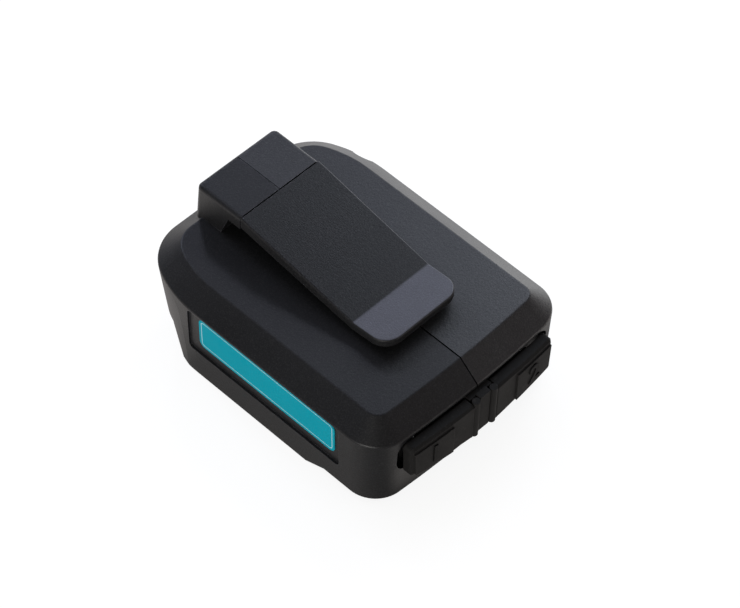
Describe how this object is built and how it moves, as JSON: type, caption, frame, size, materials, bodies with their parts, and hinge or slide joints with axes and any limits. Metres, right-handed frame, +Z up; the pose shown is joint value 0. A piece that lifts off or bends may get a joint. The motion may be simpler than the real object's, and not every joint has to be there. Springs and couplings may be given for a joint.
{
  "type": "usb battery adapter",
  "caption": "Slide-on USB power adapter for a cordless tool battery, with a belt clip on top, two hinged rubber port flaps and a push button.",
  "frame": {"origin": "middle of the underside of the whole adapter's box", "axes": "+Z up through the belt clip side, -Y out of the USB end, +X to the right of somebody looking at the USB end"},
  "size_m": [0.074, 0.1004, 0.0445],
  "materials": {
    "housing": "satin moulded black",
    "clip": "spark textured black",
    "rubber": "matte moulded rubber",
    "label": "printed film",
    "button": "satin",
    "steel": "tinned",
    "contact": "gold flashed",
    "insulator": "moulded",
    "board": "solder mask",
    "package": "epoxy",
    "can": "drawn can",
    "ferrite": "sintered"
  },
  "bodies": {
    "housing": {"housing_left": "housing", "housing_right": "housing", "port_cover_anchor": "rubber", "rating_label": "label", "tact_switch": "package", "circuit_board": "board", "usb_shell_left": "steel", "usb_shell_right": "steel", "usb_insulator_left": "insulator", "usb_insulator_right": "insulator", "usb_contacts_left": "contact", "usb_contacts_right": "contact", "terminal_block": "package", "blade_negative": "contact", "blade_positive": "contact", "power_inductor": "ferrite", "input_capacitor": "can", "output_capacitor": "can", "converter_chip": "package", "port_controller_chip": "package", "rectifier_diode": "package", "input_fuse": "insulator", "housing_screws": "steel", "board_screws": "steel"},
    "clip": {"belt_clip": "clip"},
    "flap_left": {"port_flap_left": "rubber"},
    "flap_right": {"port_flap_right": "rubber"},
    "button": {"power_button": "button", "switch_plunger": "insulator"}
  },
  "joints": [
    {"name": "clip_flex", "type": "hinge", "parent": "housing", "child": "clip", "pos_m": [0, 0.0322, 0.0423], "axis": [-1, 0, 0], "range_deg": [0, 5], "stiffness_Nm_per_rad": 8},
    {"name": "flap_left_hinge", "type": "hinge", "parent": "housing", "child": "flap_left", "pos_m": [-0.0034, -0.0491, 0.0178], "axis": [0, 0, 1], "range_deg": [0, 95]},
    {"name": "flap_right_hinge", "type": "hinge", "parent": "housing", "child": "flap_right", "pos_m": [0.0034, -0.0491, 0.0178], "axis": [0, 0, -1], "range_deg": [0, 95]},
    {"name": "button_press", "type": "slide", "parent": "housing", "child": "button", "axis": [-1, 0, 0], "range_m": [0, 0.0008], "stiffness_N_per_m": 900}
  ]
}
